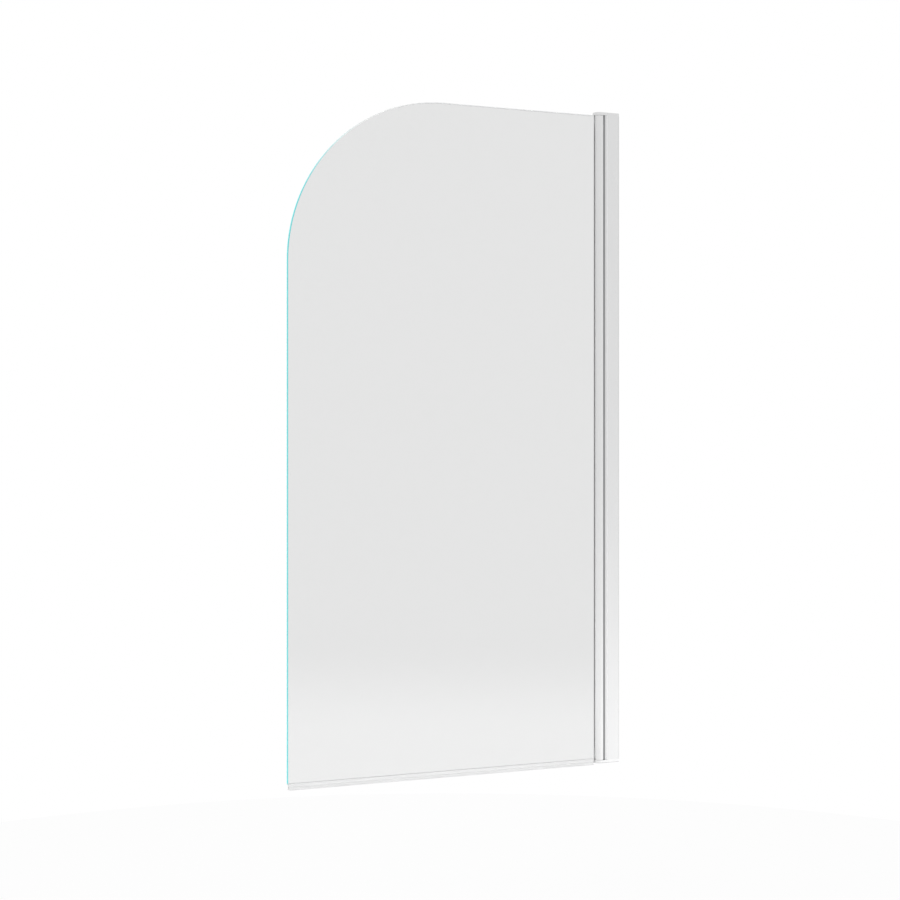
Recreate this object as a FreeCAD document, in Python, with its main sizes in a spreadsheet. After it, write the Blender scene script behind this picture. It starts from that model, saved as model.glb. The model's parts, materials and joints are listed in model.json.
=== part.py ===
import FreeCAD, Part
import math
import os
from types import SimpleNamespace

import Sketcher
from FreeCAD import Rotation, Vector

# Pivoting bath screen: one pane of safety glass held in a round tube that turns
# in the hollow front of a post, which slides in a channel on the wall.
#
# Row frame: X = 0 is the wall, the screen reaches out along -X, the side seen
# from the bathroom faces -Y, Z is up and Z = 0 is halfway up the wall channel,
# at the middle wall fixing. All sizes are millimetres.

doc = FreeCAD.newDocument("bath_screen")

# --------------------------------------------------------------------------
# Driving sizes
# --------------------------------------------------------------------------
SIZES = [
    # overall
    ("profile_length", 1400.0),      # wall channel with both its end covers
    ("screen_width", 750.0),         # wall to the free edge of the glass
    ("pivot_from_wall", 43.5),       # wall to the axis the glass turns on
    # glass
    ("glass_thickness", 5.0),
    ("glass_corner_radius", 340.0),  # big round of the upper free corner
    ("glass_foot_radius", 5.0),      # small round of the lower free corner
    ("glass_edge_round", 2.3),       # free edges ground almost to a half round
    ("glass_past_axis", 3.0),        # how far the glass runs beyond the axis
    ("glass_rise", 1.2),             # glass above the tube's end, beside the cap's nose
    # round tube on the glass
    ("tube_radius", 11.5),
    ("tube_wall", 1.5),
    ("pocket_wall", 1.3),            # walls of the glass pocket in the tube
    ("gasket_side", 1.4),            # rubber each side of the glass
    ("gasket_floor", 1.0),           # rubber behind the edge of the glass
    ("gasket_proud", 0.3),           # rubber standing out of the tube's mouth
    ("mouth_lip", 0.4),              # lip of the pocket that keeps the rubber in
    ("mouth_depth", 1.2),            # length of that lip
    # pivots
    ("plug_length", 22.0),
    ("plug_clearance", 0.05),
    ("plug_chamfer", 0.6),
    ("notch_clearance", 1.0),        # glass and rubber stop short of the plug
    ("pin_radius", 2.5),
    ("pin_running_clearance", 0.05),
    ("pin_reach", 16.0),             # pin below the end of the tube
    ("pin_socket", 4.0),             # pin held in the end cap
    ("pin_chamfer", 0.7),
    ("end_gap", 0.35),               # tube to end cap, filled by a washer
    ("washer_thickness", 0.3),
    ("washer_inset", 0.2),           # washer smaller than the tube, all round
    # wall channel
    ("channel_width", 25.0),
    ("channel_depth", 29.5),
    ("channel_wall", 1.5),
    ("channel_web", 2.0),
    ("channel_back_round", 1.2),
    ("channel_nose_round", 1.0),     # outside of the lips at the mouth
    ("channel_lip_round", 0.2),      # inside of the lips
    ("fixing_spacing", 600.0),
    ("fixing_hole_radius", 2.75),
    # hinge post
    ("post_clearance", 0.15),        # post to channel, each side
    ("post_front", 9.9),             # pivot axis to the post's front face
    ("post_back_gap", 5.5),          # wall to the post's back
    ("post_wall", 1.6),
    ("post_front_wall", 4.0),        # thick front that holds the seal grooves
    ("post_corner_round", 0.6),
    ("cove_gap", 0.8),               # tube to the cove it turns in
    ("port_hole_radius", 1.7),       # screw ports along the post
    ("port_wall", 1.7),
    ("port_inset", 3.0),             # port centre inside the chamber's end wall
    # seals in the post's front
    ("seal_gap", 0.3),               # seal to the turning tube
    ("seal_inner", 7.6),             # nearest edge to the middle plane
    ("seal_outer", 10.8),            # farthest edge from the middle plane
    ("seal_tip", 10.6),              # where the seal's tip lies over the tube
    ("groove_centre", 8.8),
    ("groove_neck", 1.4),
    ("groove_width", 2.6),
    ("groove_lip", 0.8),
    ("groove_depth", 2.0),
    # end caps
    ("cap_height", 6.7),
    ("cap_overhang", 1.9),           # round nose of the cap beyond the tube
    ("nose_clearance", 0.8),         # cap's nose to the glass and seal that pass it
    ("cap_edge_round", 2.0),
    ("cap_split_gap", 0.3),          # hinge cap to wall cap
    ("wall_cap_edge_round", 1.6),
    ("tongue_thickness", 2.0),
    ("tongue_clearance", 0.3),
    ("tongue_side_gap", 0.15),       # tongue narrower than the post, each side
    ("spigot_depth", 5.0),
    ("spigot_clearance", 0.15),
    ("wall_spigot_depth", 8.0),
    ("wall_spigot_thickness", 2.3),
    # cap screws
    ("cap_screw_radius", 1.65),
    ("cap_screw_length", 16.0),
    ("cap_screw_head_radius", 3.0),
    ("cap_screw_hole_radius", 1.85),
    # width adjustment
    ("adjust_travel", 15.0),
    ("adjust_spacing", 550.0),
    ("adjust_from_wall", 9.5),       # adjusting screw at rest
    ("adjust_screw_radius", 1.75),
    ("adjust_screw_length", 9.0),
    ("adjust_head_radius", 3.4),
    ("adjust_thread_clearance", 0.05),
    ("adjust_slot_clearance", 0.3),
    ("cup_radius", 5.5),
    ("cup_height", 2.2),
    ("cup_gap", 0.1),                # cup washer to the channel it slides on
    ("cover_wall", 0.9),
    ("cover_height", 3.6),
    ("cover_clearance", 0.05),
    ("cover_edge_round", 1.2),
    # bottom seal
    ("sweep_from_free_edge", 3.5),
    ("sweep_leg", 1.4),
    ("sweep_grip", 3.5),             # legs up the glass
    ("sweep_web", 2.5),
    ("sweep_fin", 0.9),
    ("sweep_fin_root", 1.4),         # fin root from the middle plane
    ("sweep_fin_tip", 3.4),          # fin tip from the middle plane
    ("sweep_drop", 6.1),             # web to the middle of the bead
    ("sweep_bead_radius", 0.9),
]

sheet = doc.addObject("Spreadsheet::Sheet", "sizes")
for line, (alias, number) in enumerate(SIZES, start=1):
    sheet.set(f"A{line}", alias)
    sheet.set(f"B{line}", str(number))
    sheet.setAlias(f"B{line}", alias)
doc.recompute()


class Size:
    """A length known both as a number and as a formula on the sheet."""

    def __init__(self, number, formula):
        self.number = float(number)
        self.formula = formula

    def __add__(self, other):
        other = as_size(other)
        return Size(self.number + other.number, f"({self.formula} + {other.formula})")

    def __sub__(self, other):
        other = as_size(other)
        return Size(self.number - other.number, f"({self.formula} - {other.formula})")

    def __mul__(self, factor):
        other = as_size(factor)
        return Size(self.number * other.number, f"({self.formula} * {other.formula})")

    def __truediv__(self, divisor):
        return Size(self.number / divisor, f"({self.formula} / {divisor})")

    def __neg__(self):
        return Size(-self.number, f"(-1 * {self.formula})")


def as_size(value):
    return value if isinstance(value, Size) else Size(value, f"{value}")


def across(radius, offset):
    """Half chord of a circle at an offset from its centre."""
    squares = radius * radius - offset * offset
    return Size(math.sqrt(squares.number), f"sqrt({squares.formula})")


ZERO = as_size(0)
dim = SimpleNamespace(
    **{alias: Size(sheet.get(alias), f"sizes.{alias}") for alias, _ in SIZES}
)

# Sizes and places that several pieces share
extrusion_length = dim.profile_length - dim.cap_height * 2
extrusion_end = extrusion_length / 2
tube_length = extrusion_length - dim.end_gap * 2
tube_end = tube_length / 2
channel_half = dim.channel_width / 2
channel_bore_half = channel_half - dim.channel_wall
post_half = channel_bore_half - dim.post_clearance
post_back = dim.pivot_from_wall - dim.post_back_gap
chamber_front = dim.post_front + dim.post_front_wall
chamber_back = post_back - dim.post_wall
chamber_half = post_half - dim.post_wall
front_port = chamber_front + dim.port_inset
back_port = chamber_back - dim.port_inset
port_radius = dim.port_hole_radius + dim.port_wall
channel_mouth = dim.pivot_from_wall - dim.channel_depth
cap_split = channel_mouth - dim.cap_split_gap
pocket_half = dim.glass_thickness / 2 + dim.gasket_side
mouth_half = pocket_half - dim.mouth_lip
pocket_floor = dim.glass_past_axis + dim.gasket_floor
mouth_x = across(dim.tube_radius, mouth_half)
pocket_start = mouth_x - dim.mouth_depth
free_edge = dim.screen_width - dim.pivot_from_wall
nose_radius = dim.tube_radius + dim.cap_overhang
clear_of_nose = nose_radius + dim.nose_clearance
glass_end = tube_end + dim.glass_rise


# --------------------------------------------------------------------------
# Drawing helpers
# --------------------------------------------------------------------------
def new_body(label, from_wall=None, height=ZERO, flipped=False, turn=None):
    """A body standing on the pivot axis, or on another line, at a height."""
    body = doc.addObject("PartDesign::Body", label)
    body.AllowCompound = True
    if flipped:
        turn = Rotation(Vector(1, 0, 0), 180)
        height = -height
    if turn is not None:
        body.Placement.Rotation = turn
    x = -(dim.pivot_from_wall if from_wall is None else from_wall)
    body.setExpression("Placement.Base.x", x.formula)
    body.setExpression("Placement.Base.z", height.formula)
    return body


def origin_feature(body, role):
    return next(item for item in body.Origin.OriginFeatures if item.Role == role)


def new_sketch(body, plane, name, offset=None):
    sketch = body.newObject("Sketcher::SketchObject", name)
    sketch.AttachmentSupport = [(origin_feature(body, plane), "")]
    sketch.MapMode = "FlatFace"
    if offset is not None:
        sketch.setExpression("AttachmentOffset.Base.z", offset.formula)
    return sketch


def pin_point(sketch, geometry, point, x, y):
    """Dimension a point from the sketch's origin."""
    for kind, size, axis in (("DistanceX", x, -2), ("DistanceY", y, -1)):
        if size is ZERO:
            sketch.addConstraint(Sketcher.Constraint("PointOnObject", geometry, point, axis))
            continue
        index = sketch.addConstraint(Sketcher.Constraint(kind, geometry, point, size.number))
        sketch.setExpression(f"Constraints[{index}]", size.formula)


def set_radius(sketch, geometry, radius):
    index = sketch.addConstraint(Sketcher.Constraint("Radius", geometry, radius.number))
    sketch.setExpression(f"Constraints[{index}]", radius.formula)


def arc_between(start, end, radius, bulge):
    """Arc under a half turn; bulge is 'left' or 'right' of the way from start to end."""
    middle = (start + end) * 0.5
    chord = end - start
    rise = math.sqrt(radius**2 - (chord.Length / 2) ** 2)
    side = Vector(chord.y, -chord.x, 0).normalize()
    if bulge == "right":
        side = -side
    centre = middle + side * rise
    first, last = (end, start) if bulge == "left" else (start, end)
    begin = math.atan2(first.y - centre.y, first.x - centre.x)
    finish = math.atan2(last.y - centre.y, last.x - centre.x)
    return Part.ArcOfCircle(Part.Circle(centre, Vector(0, 0, 1), radius), begin, finish)


def draw_loop(sketch, corners):
    """Closed outline; a corner is (x, y) or (x, y, radius, bulge) of the arc that leaves it."""
    points = [Vector(corner[0].number, corner[1].number, 0) for corner in corners]
    edges = []
    for index, corner in enumerate(corners):
        start, end = points[index], points[(index + 1) % len(points)]
        if len(corner) == 2:
            geometry = sketch.addGeometry(Part.LineSegment(start, end), False)
            edges.append((geometry, 1, 2))
            continue
        radius, bulge = corner[2], corner[3]
        arc = arc_between(start, end, radius.number, bulge)
        geometry = sketch.addGeometry(arc, False)
        edges.append((geometry, 2, 1) if bulge == "left" else (geometry, 1, 2))
    for index, (geometry, _, last) in enumerate(edges):
        following, first, _ = edges[(index + 1) % len(edges)]
        sketch.addConstraint(Sketcher.Constraint("Coincident", geometry, last, following, first))
    for corner, (geometry, first, _) in zip(corners, edges):
        pin_point(sketch, geometry, first, corner[0], corner[1])
        if len(corner) == 4:
            set_radius(sketch, geometry, corner[2])


def draw_circle(sketch, x, y, radius):
    centre = Vector(x.number, y.number, 0)
    circle = Part.Circle(centre, Vector(0, 0, 1), radius.number)
    geometry = sketch.addGeometry(circle, False)
    pin_point(sketch, geometry, 3, x, y)
    set_radius(sketch, geometry, radius)


def box_corners(x_low, x_high, y_low, y_high):
    return [(x_low, y_low), (x_high, y_low), (x_high, y_high), (x_low, y_high)]


def mirrored(corners):
    """The same outline on the other side of the middle plane, drawn the other way round."""
    count = len(corners)
    turned = []
    for index in range(count):
        corner = corners[-index % count]
        arc = corners[-index - 1][2:]
        turned.append((corner[0], -corner[1], *arc))
    return turned


def start_feature(body, kind, name):
    """A new feature of the body, and the volume that the body has before it."""
    before = body.Tip.Shape.Volume if body.Tip else 0.0
    return body.newObject(kind, name), before


def finish_feature(body, feature, before, grows):
    """Recompute and make sure that the feature did add or take away material."""
    body.Tip = feature
    doc.recompute()
    change = feature.Shape.Volume - before
    if (change > 0) != grows or change == 0:
        raise ValueError(f"{body.Label}: {feature.Name} changed the volume by {change:.3f}")
    return feature


def pad(body, sketch, length, both_ways=False, downward=False):
    feature, before = start_feature(body, "PartDesign::Pad", f"{sketch.Name}_pad")
    feature.Profile = sketch
    feature.setExpression("Length", length.formula)
    feature.SideType = "Symmetric" if both_ways else "One side"
    feature.Reversed = downward
    return finish_feature(body, feature, before, True)


def pocket(body, sketch, length=None, both_ways=False, forward=False):
    """Cut along the sketch; with no length the cut goes right through."""
    feature, before = start_feature(body, "PartDesign::Pocket", f"{sketch.Name}_cut")
    feature.Profile = sketch
    if length is None:
        feature.Type = "ThroughAll"
    else:
        feature.setExpression("Length", length.formula)
    feature.SideType = "Symmetric" if both_ways else "One side"
    feature.Reversed = forward
    return finish_feature(body, feature, before, False)


def revolve(body, sketch):
    feature, before = start_feature(body, "PartDesign::Revolution", f"{sketch.Name}_turn")
    feature.Profile = sketch
    feature.ReferenceAxis = (origin_feature(body, "Z_Axis"), [""])
    feature.Angle = 360
    return finish_feature(body, feature, before, True)


def row_of(body, feature, axis, span, count):
    """Repeat a feature evenly over a span along one of the body's axes."""
    pattern, before = start_feature(body, "PartDesign::LinearPattern", f"{feature.Name}_row")
    pattern.Originals = [feature]
    pattern.Direction = (origin_feature(body, axis), [""])
    pattern.setExpression("Length", span.formula)
    pattern.Occurrences = count
    grows = feature.TypeId == "PartDesign::Revolution"
    return finish_feature(body, pattern, before, grows)


def edges_where(feature, wanted):
    names = []
    for index, edge in enumerate(feature.Shape.Edges, start=1):
        if wanted(edge):
            names.append(f"Edge{index}")
    if not names:
        raise ValueError(f"{feature.Name}: no edge of the wanted kind")
    return names


def soften(body, feature, names, size, bevel=False):
    kind = "PartDesign::Chamfer" if bevel else "PartDesign::Fillet"
    softened = body.newObject(kind, f"{feature.Name}_soft")
    softened.Base = (feature, names)
    softened.setExpression("Size" if bevel else "Radius", size.formula)
    body.Tip = softened
    doc.recompute()
    return softened


def near(value, size):
    return abs(value - size.number) < 1e-4


def runs_along(edge, axis):
    if len(edge.Vertexes) != 2 or not isinstance(edge.Curve, Part.Line):
        return False
    way = edge.Vertexes[1].Point - edge.Vertexes[0].Point
    return abs(abs(way.dot(axis)) - way.Length) < 1e-6


ALONG_Z = Vector(0, 0, 1)


# --------------------------------------------------------------------------
# Wall side: channel and its end covers
# --------------------------------------------------------------------------
def make_wall_channel():
    """U extrusion on the wall, open towards the screen."""
    body = new_body("wall_channel", from_wall=ZERO)
    depth, bore = dim.channel_depth, channel_bore_half
    section = new_sketch(body, "XY_Plane", "channel_section")
    draw_loop(section, [
        (-depth, -channel_half), (ZERO, -channel_half),
        (ZERO, channel_half), (-depth, channel_half),
        (-depth, bore), (-dim.channel_web, bore),
        (-dim.channel_web, -bore), (-depth, -bore),
    ])
    extrusion = pad(body, section, extrusion_length, both_ways=True)

    holes = new_sketch(body, "YZ_Plane", "fixing_hole")
    draw_circle(holes, ZERO, -dim.fixing_spacing, dim.fixing_hole_radius)
    hole = pocket(body, holes, both_ways=True)
    row_of(body, hole, "Z_Axis", dim.fixing_spacing * 2, 3)

    slot_radius = dim.adjust_screw_radius + dim.adjust_slot_clearance
    wall_end = -dim.adjust_from_wall
    free_end = wall_end - dim.adjust_travel
    low, high = -dim.adjust_spacing - slot_radius, slot_radius - dim.adjust_spacing
    slots = new_sketch(body, "XZ_Plane", "adjusting_slot")
    middle = -dim.adjust_spacing
    draw_loop(slots, [
        (free_end, low), (wall_end, low, slot_radius, "right"),
        (wall_end + slot_radius, middle, slot_radius, "right"), (wall_end, high),
        (free_end, high, slot_radius, "right"),
        (free_end - slot_radius, middle, slot_radius, "right"),
    ])
    slot = pocket(body, slots, channel_half + dim.channel_wall)
    row = row_of(body, slot, "Z_Axis", dim.adjust_spacing * 2, 3)

    def back_corner(edge):
        point = edge.CenterOfMass
        return runs_along(edge, ALONG_Z) and near(point.x, ZERO) and near(abs(point.y), channel_half)

    def mouth_corner(edge, offset):
        point = edge.CenterOfMass
        return runs_along(edge, ALONG_Z) and near(point.x, -depth) and near(abs(point.y), offset)

    def outer_lip(edge):
        return mouth_corner(edge, channel_half)

    def inner_lip(edge):
        return mouth_corner(edge, bore)

    rounded = soften(body, row, edges_where(row, back_corner), dim.channel_back_round)
    nosed = soften(body, rounded, edges_where(rounded, outer_lip), dim.channel_nose_round)
    soften(body, nosed, edges_where(nosed, inner_lip), dim.channel_lip_round)
    return body


def make_wall_cap(label, flipped):
    """Cover on the end of the channel, hollow below so that the post's tongue slides under it."""
    body = new_body(label, from_wall=ZERO, height=extrusion_end, flipped=flipped)
    depth, height = dim.channel_depth, dim.cap_height
    plan = new_sketch(body, "XY_Plane", "cover_plan")
    draw_loop(plan, box_corners(-depth, ZERO, -channel_half, channel_half))
    block = pad(body, plan, height)

    def back_corner(edge):
        return runs_along(edge, ALONG_Z) and near(edge.CenterOfMass.x, ZERO)

    block = soften(body, block, edges_where(block, back_corner), dim.channel_back_round)

    def top_rim(edge):
        point = edge.CenterOfMass
        return near(edge.BoundBox.ZMin, height) and not near(point.x, -depth)

    soften(body, block, edges_where(block, top_rim), dim.wall_cap_edge_round)

    tongue_room = new_sketch(body, "XY_Plane", "tongue_room")
    room_back = dim.wall_spigot_thickness + dim.channel_web
    draw_loop(tongue_room, box_corners(
        -depth - dim.cap_split_gap, -room_back, -channel_bore_half, channel_bore_half))
    room_height = dim.tongue_thickness + dim.tongue_clearance
    pocket(body, tongue_room, room_height, forward=True)

    spigot = new_sketch(body, "XY_Plane", "cover_spigot")
    spigot_half = channel_bore_half - dim.spigot_clearance
    draw_loop(spigot, box_corners(
        -room_back, -dim.channel_web - dim.spigot_clearance, -spigot_half, spigot_half))
    pad(body, spigot, dim.wall_spigot_depth, downward=True)
    return body


# --------------------------------------------------------------------------
# Post side: everything that slides with the hinge post
# --------------------------------------------------------------------------
def groove_corners():
    """Seal groove in the post's front, on the bathroom side, from the outside inwards."""
    centre, front = -dim.groove_centre, dim.post_front
    neck, width = dim.groove_neck / 2, dim.groove_width / 2
    lip, floor = front + dim.groove_lip, front + dim.groove_depth
    return [
        (front, centre + neck), (lip, centre + neck), (lip, centre + width),
        (floor, centre + width), (floor, centre - width), (lip, centre - width),
        (lip, centre - neck), (front, centre - neck),
    ]


def make_hinge_post():
    """Hollow extrusion: a cove and two seal grooves in front, two screw ports inside."""
    body = new_body("hinge_post")
    front = dim.post_front
    cove_radius = dim.tube_radius + dim.cove_gap
    cove_half = across(cove_radius, front)
    grooves_near = groove_corners()
    grooves_far = [(x, -y) for x, y in reversed(grooves_near)]
    section = new_sketch(body, "XY_Plane", "post_section")
    draw_loop(section, [
        (front, -post_half), (post_back, -post_half), (post_back, post_half), (front, post_half),
        *grooves_far, (front, cove_half, cove_radius, "left"), (front, -cove_half),
        *grooves_near,
    ])
    extrusion = pad(body, section, extrusion_length, both_ways=True)

    def outer_corner(edge):
        point = edge.CenterOfMass
        return runs_along(edge, ALONG_Z) and near(abs(point.y), post_half)

    soften(body, extrusion, edges_where(extrusion, outer_corner), dim.post_corner_round)

    chamber = new_sketch(body, "XY_Plane", "post_chamber")
    draw_loop(chamber, box_corners(chamber_front, chamber_back, -chamber_half, chamber_half))
    pocket(body, chamber, both_ways=True)

    ports = new_sketch(body, "XY_Plane", "screw_port_walls")
    for x in (front_port, back_port):
        draw_circle(ports, x, ZERO, port_radius)
    pad(body, ports, extrusion_length, both_ways=True)

    bores = new_sketch(body, "XY_Plane", "screw_port_bores")
    for x in (front_port, back_port):
        draw_circle(bores, x, ZERO, dim.port_hole_radius)
    pocket(body, bores, both_ways=True)

    inside_chamber = chamber_half - dim.post_wall
    threads = new_sketch(body, "XZ_Plane", "adjusting_thread", offset=-inside_chamber)
    thread_radius = dim.adjust_screw_radius + dim.adjust_thread_clearance
    thread_x = dim.pivot_from_wall - dim.adjust_from_wall
    draw_circle(threads, thread_x, -dim.adjust_spacing, thread_radius)
    thread = pocket(body, threads, channel_half - inside_chamber)
    row_of(body, thread, "Z_Axis", dim.adjust_spacing * 2, 3)
    return body


def make_hinge_cap(label, flipped):
    """End cap with a round nose over the tube, a tongue over the post and a pin socket."""
    body = new_body(label, height=extrusion_end, flipped=flipped)
    nose = nose_radius
    plan = new_sketch(body, "XY_Plane", "cap_plan")
    draw_loop(plan, [
        (ZERO, -nose), (cap_split, -nose), (cap_split, nose),
        (ZERO, nose, nose, "right"), (-nose, ZERO, nose, "right"),
    ])
    plate = pad(body, plan, dim.cap_height)

    def top_rim(edge):
        flat = near(edge.BoundBox.ZMin, dim.cap_height)
        return flat and not near(edge.CenterOfMass.x, cap_split)

    soften(body, plate, edges_where(plate, top_rim), dim.cap_edge_round)

    tongue = new_sketch(body, "XY_Plane", "cap_tongue")
    tongue_half = post_half - dim.tongue_side_gap
    draw_loop(tongue, box_corners(ZERO, post_back, -tongue_half, tongue_half))
    pad(body, tongue, dim.tongue_thickness)

    spigot = new_sketch(body, "XY_Plane", "cap_spigot")
    spigot_half = chamber_half - dim.spigot_clearance
    clear_of_port = port_radius + dim.spigot_clearance
    draw_loop(spigot, box_corners(
        front_port + clear_of_port, back_port - clear_of_port, -spigot_half, spigot_half))
    pad(body, spigot, dim.spigot_depth, downward=True)

    socket = new_sketch(body, "XY_Plane", "pin_socket")
    draw_circle(socket, ZERO, ZERO, dim.pin_radius)
    pocket(body, socket, dim.pin_socket, forward=True)

    holes = new_sketch(body, "XY_Plane", "cap_screw_holes", offset=dim.tongue_thickness)
    for x in (front_port, back_port):
        draw_circle(holes, x, ZERO, dim.cap_screw_hole_radius)
    through = pocket(body, holes)

    def hole_mouth(edge):
        round_edge = isinstance(edge.Curve, Part.Circle)
        return round_edge and near(edge.CenterOfMass.z, dim.tongue_thickness)

    sink = dim.cap_screw_head_radius - dim.cap_screw_hole_radius
    soften(body, through, edges_where(through, hole_mouth), sink, bevel=True)
    return body


def make_pivot_pin(label, flipped):
    """Plain steel pin, pressed into the cap, with a chamfered end that turns in the plug."""
    body = new_body(label, height=extrusion_end, flipped=flipped)
    radius, chamfer = dim.pin_radius, dim.pin_chamfer
    bottom = -(dim.end_gap + dim.pin_reach)
    half = new_sketch(body, "XZ_Plane", "pin_half")
    draw_loop(half, [
        (ZERO, bottom), (radius - chamfer, bottom), (radius, bottom + chamfer),
        (radius, dim.pin_socket), (ZERO, dim.pin_socket),
    ])
    revolve(body, half)
    return body


def countersunk_half(sketch, shank, head, length, top):
    """Half outline of a countersunk screw with a pointed end, its head flush with the top."""
    draw_loop(sketch, [
        (ZERO, top - length), (shank, top - length + shank), (shank, top - (head - shank)),
        (head, top), (ZERO, top),
    ])


def make_cap_screws(label, flipped):
    """Two countersunk screws down through the tongue into the post's ports."""
    first = dim.pivot_from_wall - front_port
    body = new_body(label, from_wall=first, height=extrusion_end, flipped=flipped)
    half = new_sketch(body, "XZ_Plane", "cap_screw_half")
    countersunk_half(half, dim.cap_screw_radius, dim.cap_screw_head_radius,
                     dim.cap_screw_length, dim.tongue_thickness)
    screw = revolve(body, half)
    row_of(body, screw, "X_Axis", back_port - front_port, 2)
    return body


def make_cove_seal(label, flipped):
    """Soft strip with a T foot in the post's groove; its face follows the turning tube."""
    body = new_body(label, flipped=flipped)
    front = dim.post_front
    face_radius = dim.tube_radius + dim.seal_gap
    foot = groove_corners()
    section = new_sketch(body, "XY_Plane", "seal_section")
    draw_loop(section, [
        (front, -dim.seal_outer), *reversed(foot), (front, -dim.seal_inner),
        (across(face_radius, dim.seal_inner), -dim.seal_inner, face_radius, "left"),
        (across(face_radius, dim.seal_tip), -dim.seal_tip),
    ])
    pad(body, section, extrusion_length, both_ways=True)
    return body


def adjusting_body(label):
    """A body on the first adjusting screw, its own Z pointing out of the far side."""
    out_of_far_side = Rotation(Vector(1, 0, 0), -90)
    return new_body(label, from_wall=dim.adjust_from_wall, height=dim.adjust_spacing,
                    turn=out_of_far_side)


def make_adjusting_screws():
    """Three screws that lock the post in the channel at the chosen width."""
    body = adjusting_body("adjusting_screws")
    half = new_sketch(body, "XZ_Plane", "adjusting_screw_half")
    top = channel_half + dim.cup_gap + dim.cup_height
    countersunk_half(half, dim.adjust_screw_radius, dim.adjust_head_radius,
                     dim.adjust_screw_length, top)
    screw = revolve(body, half)
    row_of(body, screw, "Y_Axis", dim.adjust_spacing * 2, 3)
    return body


def make_adjusting_cups():
    """Cup washers below the screw heads, which the covers snap onto."""
    body = adjusting_body("adjusting_cups")
    low = channel_half + dim.cup_gap
    top = low + dim.cup_height
    head = dim.adjust_head_radius + dim.adjust_thread_clearance
    shank = dim.adjust_screw_radius + dim.adjust_thread_clearance
    half = new_sketch(body, "XZ_Plane", "cup_half")
    draw_loop(half, [
        (shank, low), (dim.cup_radius, low), (dim.cup_radius, top),
        (head, top), (shank, top - (head - shank)),
    ])
    cup = revolve(body, half)
    row_of(body, cup, "Y_Axis", dim.adjust_spacing * 2, 3)
    return body


def make_screw_covers():
    """Snap-on round covers over the adjusting screws."""
    body = adjusting_body("screw_covers")
    low = channel_half + dim.cup_gap
    top = low + dim.cover_height
    inside = dim.cup_radius + dim.cover_clearance
    outside = inside + dim.cover_wall
    edge, roof = dim.cover_edge_round, top - dim.cover_wall
    half = new_sketch(body, "XZ_Plane", "cover_half")
    draw_loop(half, [
        (inside, low), (outside, low), (outside, top - edge, edge, "right"),
        (outside - edge, top), (ZERO, top), (ZERO, roof), (inside, roof),
    ])
    cover = revolve(body, half)
    row_of(body, cover, "Y_Axis", dim.adjust_spacing * 2, 3)
    return body


# --------------------------------------------------------------------------
# Screen side: everything that turns with the glass
# --------------------------------------------------------------------------
def make_pivot_tube():
    """Round extrusion with a pocket for the glass and a hollow on each side of it."""
    body = new_body("pivot_tube")
    radius, inner = dim.tube_radius, dim.tube_radius - dim.tube_wall
    section = new_sketch(body, "XY_Plane", "tube_section")
    draw_loop(section, [
        (-mouth_x, -mouth_half, radius, "right"), (radius, ZERO, radius, "right"),
        (-mouth_x, mouth_half), (-pocket_start, mouth_half), (-pocket_start, pocket_half),
        (pocket_floor, pocket_half), (pocket_floor, -pocket_half),
        (-pocket_start, -pocket_half), (-pocket_start, -mouth_half),
    ])
    pad(body, section, tube_length, both_ways=True)

    side = pocket_half + dim.pocket_wall
    back = pocket_floor + dim.pocket_wall
    web = dim.pocket_wall / 2
    hollow_end = across(inner, side)
    near_hollow = [
        (-hollow_end, -side, inner, "right"), (across(inner, web), -web),
        (back, -web), (back, -side),
    ]
    hollows = new_sketch(body, "XY_Plane", "tube_hollows")
    draw_loop(hollows, near_hollow)
    draw_loop(hollows, mirrored(near_hollow))
    pocket(body, hollows, both_ways=True)
    return body


def end_notch(body, reach):
    """Take the hinge side of both ends back, to make room for the pivot plugs."""
    height = dim.plug_length + dim.notch_clearance
    over = dim.end_gap
    start = -(mouth_x - dim.mouth_depth / 2)
    sketch = new_sketch(body, "XZ_Plane", f"{body.Label}_notch")
    for low, high in ((tube_end - height, tube_end + over), (-tube_end - over, height - tube_end)):
        draw_loop(sketch, box_corners(start, reach + dim.gasket_floor, low, high))
    return pocket(body, sketch, both_ways=True)


def make_glass_panel():
    """Toughened pane with round-ground free edges, stepped clear of the caps' noses."""
    body = new_body("glass_panel")
    big, small = dim.glass_corner_radius, dim.glass_foot_radius
    right = dim.glass_past_axis
    outline = new_sketch(body, "XZ_Plane", "pane_outline")
    draw_loop(outline, [
        (small - free_edge, -glass_end), (-clear_of_nose, -glass_end),
        (-clear_of_nose, -tube_end), (right, -tube_end), (right, tube_end),
        (-clear_of_nose, tube_end), (-clear_of_nose, glass_end),
        (big - free_edge, glass_end, big, "right"), (-free_edge, glass_end - big),
        (-free_edge, small - glass_end, small, "right"),
    ])
    pane = pad(body, outline, dim.glass_thickness, both_ways=True)

    def free_rim(edge):
        on_face = near(edge.BoundBox.YMin, as_size(edge.BoundBox.YMax))
        return on_face and edge.CenterOfMass.x < -clear_of_nose.number - 1e-4

    soften(body, pane, edges_where(pane, free_rim), dim.glass_edge_round)
    end_notch(body, right)
    return body


def make_glazing_gasket():
    """U of rubber round the glass, keyed behind the lips of the tube's pocket."""
    body = new_body("glazing_gasket")
    face = dim.glass_thickness / 2
    out = mouth_x + dim.gasket_proud
    section = new_sketch(body, "XY_Plane", "gasket_section")
    draw_loop(section, [
        (-out, -mouth_half), (-pocket_start, -mouth_half), (-pocket_start, -pocket_half),
        (pocket_floor, -pocket_half), (pocket_floor, pocket_half),
        (-pocket_start, pocket_half), (-pocket_start, mouth_half), (-out, mouth_half),
        (-out, face), (dim.glass_past_axis, face), (dim.glass_past_axis, -face), (-out, -face),
    ])
    pad(body, section, tube_length, both_ways=True)
    end_notch(body, pocket_floor)
    return body


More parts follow.
